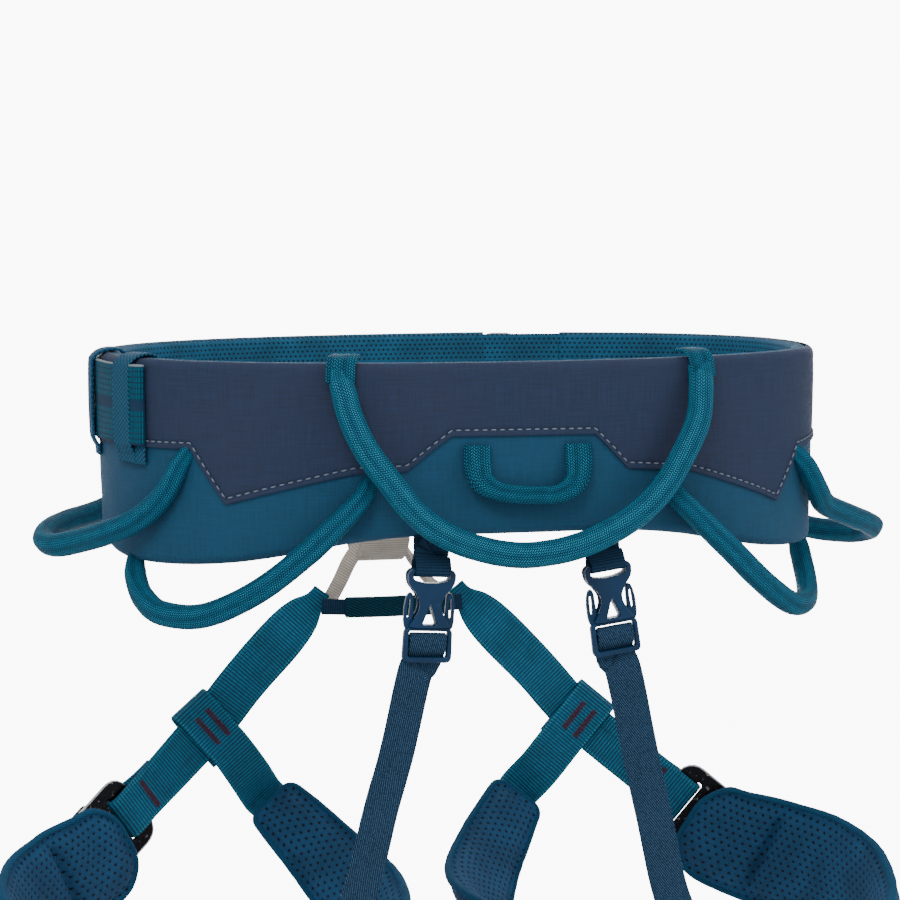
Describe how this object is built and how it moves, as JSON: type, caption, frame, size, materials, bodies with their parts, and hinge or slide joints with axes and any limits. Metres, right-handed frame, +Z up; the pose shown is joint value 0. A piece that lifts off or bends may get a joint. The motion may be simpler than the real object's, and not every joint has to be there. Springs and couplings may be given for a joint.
{
  "type": "climbing harness",
  "caption": "Padded sit harness for rock climbing: waist belt with buckle, leg loops on risers, belay loop, braided gear loops, haul loop and releasable rear leg straps.",
  "frame": {"origin": "centre of the waist ring, midway up the belt at the back, where the wearer's waist is", "axes": "+Z up; +Y the way the wearer faces, so the buckle, tie-in points and belay loop are at +Y and the haul loop at -Y; +X to the wearer's right"},
  "size_m": [0.44, 0.2585, 0.3639],
  "materials": {
    "navy_fabric": "plain woven shell, matte",
    "teal_fabric": "plain woven shell, matte",
    "mesh_fabric": "perforated spacer mesh",
    "foam": "closed-cell foam inside the pads, and loop cores",
    "webbing": "ribbed flat webbing",
    "strap_webbing": "flat webbing with lengthwise ribs",
    "dark_webbing": "narrow ribbed webbing",
    "elastic": "twill elastic",
    "tie_in_webbing": "thick pale webbing",
    "braid": "braided sheath",
    "buckle_plastic": "satin moulded",
    "black_metal": "black anodised with worn bright edges"
  },
  "bodies": {
    "harness": {"waist_shell_upper": "navy_fabric", "waist_shell_lower": "teal_fabric", "waist_foam": "foam", "waist_liner": "mesh_fabric", "waist_load_web": "webbing", "waist_buckle_flap": "mesh_fabric", "waist_strap": "strap_webbing", "waist_buckle_anchor": "strap_webbing", "waist_buckle_frame": "black_metal", "strap_keeper_rear": "elastic", "strap_keeper_front": "elastic", "upper_tie_in_loop": "tie_in_webbing", "lower_tie_in_bridge": "tie_in_webbing", "crotch_keeper_strap": "dark_webbing", "crotch_keeper_sleeve": "dark_webbing", "gear_loop_tape_left": "braid", "gear_loop_tape_right": "braid", "rear_webbing_left": "dark_webbing", "rear_webbing_right": "dark_webbing", "rear_buckle_socket_left": "buckle_plastic", "rear_buckle_socket_right": "buckle_plastic", "rear_elastic_left": "elastic", "rear_elastic_right": "elastic"},
    "waist_slider": {"waist_buckle_slider": "black_metal"},
    "belay": {"belay_loop": "tie_in_webbing"},
    "gear_rear": {"gear_loop_rear": "braid", "gear_loop_rear_core": "foam"},
    "gear_left_rear": {"gear_loop_left_rear": "braid", "gear_loop_left_rear_core": "foam"},
    "gear_right_rear": {"gear_loop_right_rear": "braid", "gear_loop_right_rear_core": "foam"},
    "gear_left_front": {"gear_loop_left_front": "braid", "gear_loop_left_front_core": "foam"},
    "gear_right_front": {"gear_loop_right_front": "braid", "gear_loop_right_front_core": "foam"},
    "haul": {"haul_loop": "webbing"},
    "plug_left": {"rear_buckle_plug_left": "buckle_plastic"},
    "plug_right": {"rear_buckle_plug_right": "buckle_plastic"},
    "prong_inner_left": {"rear_buckle_prong_inner_left": "buckle_plastic"},
    "prong_outer_left": {"rear_buckle_prong_outer_left": "buckle_plastic"},
    "prong_inner_right": {"rear_buckle_prong_inner_right": "buckle_plastic"},
    "prong_outer_right": {"rear_buckle_prong_outer_right": "buckle_plastic"},
    "leg_left": {"leg_foam_left": "foam", "leg_liner_left": "mesh_fabric", "leg_shell_left": "mesh_fabric", "leg_riser_left": "webbing", "leg_strap_left": "webbing", "leg_keeper_left": "elastic", "leg_buckle_left_frame": "black_metal"},
    "leg_right": {"leg_foam_right": "foam", "leg_liner_right": "mesh_fabric", "leg_shell_right": "mesh_fabric", "leg_riser_right": "webbing", "leg_strap_right": "webbing", "leg_keeper_right": "elastic", "leg_buckle_right_frame": "black_metal"},
    "leg_slider_left": {"leg_buckle_left_slider": "black_metal"},
    "leg_slider_right": {"leg_buckle_right_slider": "black_metal"}
  },
  "joints": [
    {"name": "belay_loop_swing", "type": "hinge", "parent": "harness", "child": "belay", "pos_m": [-0.005, 0.118, -0.022], "axis": [1, 0, 0], "range_deg": [-5, 5], "stiffness_Nm_per_rad": 0.05},
    {"name": "gear_loop_rear_swing", "type": "hinge", "parent": "harness", "child": "gear_rear", "pos_m": [0, -0.1006, 0.034], "axis": [-1, 0, 0], "range_deg": [0, 45], "stiffness_Nm_per_rad": 0.15},
    {"name": "gear_loop_left_rear_swing", "type": "hinge", "parent": "harness", "child": "gear_left_rear", "pos_m": [-0.07577, -0.09708, -0.012], "axis": [-0.7091, 0.5596, -0.4289], "range_deg": [-6, 25], "stiffness_Nm_per_rad": 0.15},
    {"name": "gear_loop_right_rear_swing", "type": "hinge", "parent": "harness", "child": "gear_right_rear", "pos_m": [0.07577, -0.09708, -0.012], "axis": [-0.7091, -0.5596, 0.4289], "range_deg": [-6, 25], "stiffness_Nm_per_rad": 0.15},
    {"name": "gear_loop_left_front_swing", "type": "hinge", "parent": "harness", "child": "gear_left_front", "pos_m": [-0.148, -0.06, -0.002], "axis": [-0.0303, 0.9855, -0.1668], "range_deg": [-15, 35], "stiffness_Nm_per_rad": 0.3},
    {"name": "gear_loop_right_front_swing", "type": "hinge", "parent": "harness", "child": "gear_right_front", "pos_m": [0.148, -0.06, -0.002], "axis": [-0.0303, -0.9855, 0.1668], "range_deg": [-15, 35], "stiffness_Nm_per_rad": 0.3},
    {"name": "haul_loop_swing", "type": "hinge", "parent": "harness", "child": "haul", "pos_m": [0, -0.1003, 0.003], "axis": [-1, 0, 0], "range_deg": [0, 45], "stiffness_Nm_per_rad": 0.02},
    {"name": "rear_buckle_left_slide", "type": "slide", "parent": "harness", "child": "plug_left", "axis": [-0.125, 0.014, -0.9921], "range_m": [0, 0.02], "deforming": ["rear_elastic_left"]},
    {"name": "rear_buckle_right_slide", "type": "slide", "parent": "harness", "child": "plug_right", "axis": [0.125, 0.014, -0.9921], "range_m": [0, 0.02], "deforming": ["rear_elastic_right"]},
    {"name": "prong_inner_left_flex", "type": "hinge", "parent": "plug_left", "child": "prong_inner_left", "pos_m": [-0.03526, -0.10013, -0.08741], "axis": [-0.0017, -0.9999, -0.0139], "range_deg": [0, 7], "stiffness_Nm_per_rad": 0.05},
    {"name": "prong_outer_left_flex", "type": "hinge", "parent": "plug_left", "child": "prong_outer_left", "pos_m": [-0.05272, -0.10013, -0.08521], "axis": [0.0017, 0.9999, 0.0139], "range_deg": [0, 7], "stiffness_Nm_per_rad": 0.05},
    {"name": "prong_inner_right_flex", "type": "hinge", "parent": "plug_right", "child": "prong_inner_right", "pos_m": [0.03526, -0.10013, -0.08741], "axis": [-0.0017, 0.9999, 0.0139], "range_deg": [0, 7], "stiffness_Nm_per_rad": 0.05},
    {"name": "prong_outer_right_flex", "type": "hinge", "parent": "plug_right", "child": "prong_outer_right", "pos_m": [0.05272, -0.10013, -0.08521], "axis": [0.0017, -0.9999, -0.0139], "range_deg": [0, 7], "stiffness_Nm_per_rad": 0.05},
    {"name": "waist_buckle_tilt", "type": "hinge", "parent": "harness", "child": "waist_slider", "pos_m": [0.0423, 0.10029, 0.01769], "axis": [0.0078, 0.0493, 0.9988], "range_deg": [0, 15]},
    {"name": "leg_buckle_left_tilt", "type": "hinge", "parent": "leg_left", "child": "leg_slider_left", "pos_m": [-0.1657, 0.09201, -0.20444], "axis": [-0.5388, -0.2302, 0.8104], "range_deg": [0, 15]},
    {"name": "leg_buckle_right_tilt", "type": "hinge", "parent": "leg_right", "child": "leg_slider_right", "pos_m": [0.1657, 0.09201, -0.20444], "axis": [-0.5388, 0.2302, -0.8104], "range_deg": [0, 15]},
    {"name": "leg_swing_left", "type": "hinge", "parent": "harness", "child": "leg_left", "pos_m": [-0.035, 0.122, -0.088], "axis": [-0.2089, -0.7537, -0.6231], "range_deg": [-15, 15], "stiffness_Nm_per_rad": 1},
    {"name": "leg_swing_right", "type": "hinge", "parent": "harness", "child": "leg_right", "pos_m": [0.035, 0.122, -0.088], "axis": [0.2089, -0.7537, -0.6231], "range_deg": [-15, 15], "stiffness_Nm_per_rad": 1}
  ]
}
